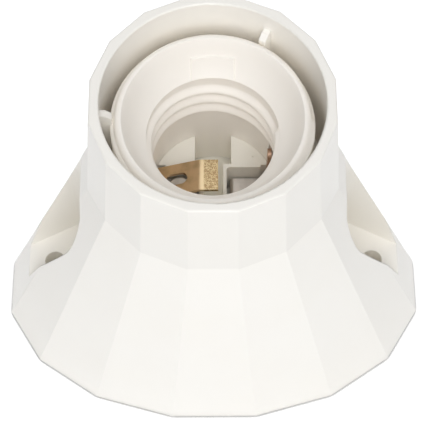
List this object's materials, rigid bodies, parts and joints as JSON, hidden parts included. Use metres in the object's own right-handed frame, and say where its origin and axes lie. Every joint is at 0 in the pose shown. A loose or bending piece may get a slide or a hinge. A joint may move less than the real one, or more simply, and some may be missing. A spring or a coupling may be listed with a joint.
{
  "type": "lamp holder",
  "caption": "White screw lamp holder with a faceted oval base, a round collar, a threaded sleeve and sprung brass contacts.",
  "frame": {"origin": "middle of the face that meets the wall or ceiling", "axes": "+X along the two fixing holes, +Z out of the lamp opening, -Y towards the camera of the reference picture"},
  "size_m": [0.0974, 0.0654, 0.0903],
  "materials": {
    "housing_plastic": "moulded, glossy white",
    "sleeve_plastic": "moulded, warm white",
    "carrier_plastic": "moulded, satin off-white",
    "contact_brass": "rolled strip, the tip knurled",
    "terminal_brass": "rolled and pressed",
    "plated_steel": "zinc plated",
    "screw_steel": "zinc plated, slotted"
  },
  "bodies": {
    "holder": {"housing": "housing_plastic", "threaded_sleeve": "sleeve_plastic", "contact_carrier": "carrier_plastic", "carrier_screw_front": "screw_steel", "carrier_screw_back": "screw_steel", "side_terminal_plate": "terminal_brass", "centre_terminal_plate": "terminal_brass", "side_terminal_rivet": "terminal_brass", "centre_terminal_rivet": "terminal_brass"},
    "centre_contact": {"centre_contact": "contact_brass"},
    "side_contact": {"side_contact": "contact_brass"},
    "side_clamp": {"side_wire_clamp": "plated_steel"},
    "side_screw": {"side_terminal_screw": "screw_steel"},
    "centre_clamp": {"centre_wire_clamp": "plated_steel"},
    "centre_screw": {"centre_terminal_screw": "screw_steel"}
  },
  "joints": [
    {"name": "centre_contact_flex", "type": "hinge", "parent": "holder", "child": "centre_contact", "pos_m": [-0.0119, 0, 0.052], "axis": [0, 1, 0], "range_deg": [0, 8], "stiffness_Nm_per_rad": 0.1},
    {"name": "side_contact_flex", "type": "hinge", "parent": "holder", "child": "side_contact", "pos_m": [0.0117, 0.0038, 0.052], "axis": [0, 1, 0], "range_deg": [0, 5], "stiffness_Nm_per_rad": 0.1},
    {"name": "side_clamp_slide", "type": "slide", "parent": "holder", "child": "side_clamp", "axis": [0, 0, 1], "range_m": [-0.0015, 0.001]},
    {"name": "side_screw_turn", "type": "hinge", "parent": "side_clamp", "child": "side_screw", "pos_m": [0.0072, -0.0014, 0.0495], "axis": [0, 0, 1], "range_deg": [-901, 601]},
    {"name": "centre_clamp_slide", "type": "slide", "parent": "holder", "child": "centre_clamp", "axis": [0, 0, 1], "range_m": [-0.0015, 0.001]},
    {"name": "centre_screw_turn", "type": "hinge", "parent": "centre_clamp", "child": "centre_screw", "pos_m": [-0.0072, 0.0014, 0.0495], "axis": [0, 0, 1], "range_deg": [-901, 601]}
  ],
  "couplings": [
    {"joint": "side_screw_turn", "follows": "side_clamp_slide", "rad_per_m": 10472},
    {"joint": "centre_screw_turn", "follows": "centre_clamp_slide", "rad_per_m": 10472}
  ]
}
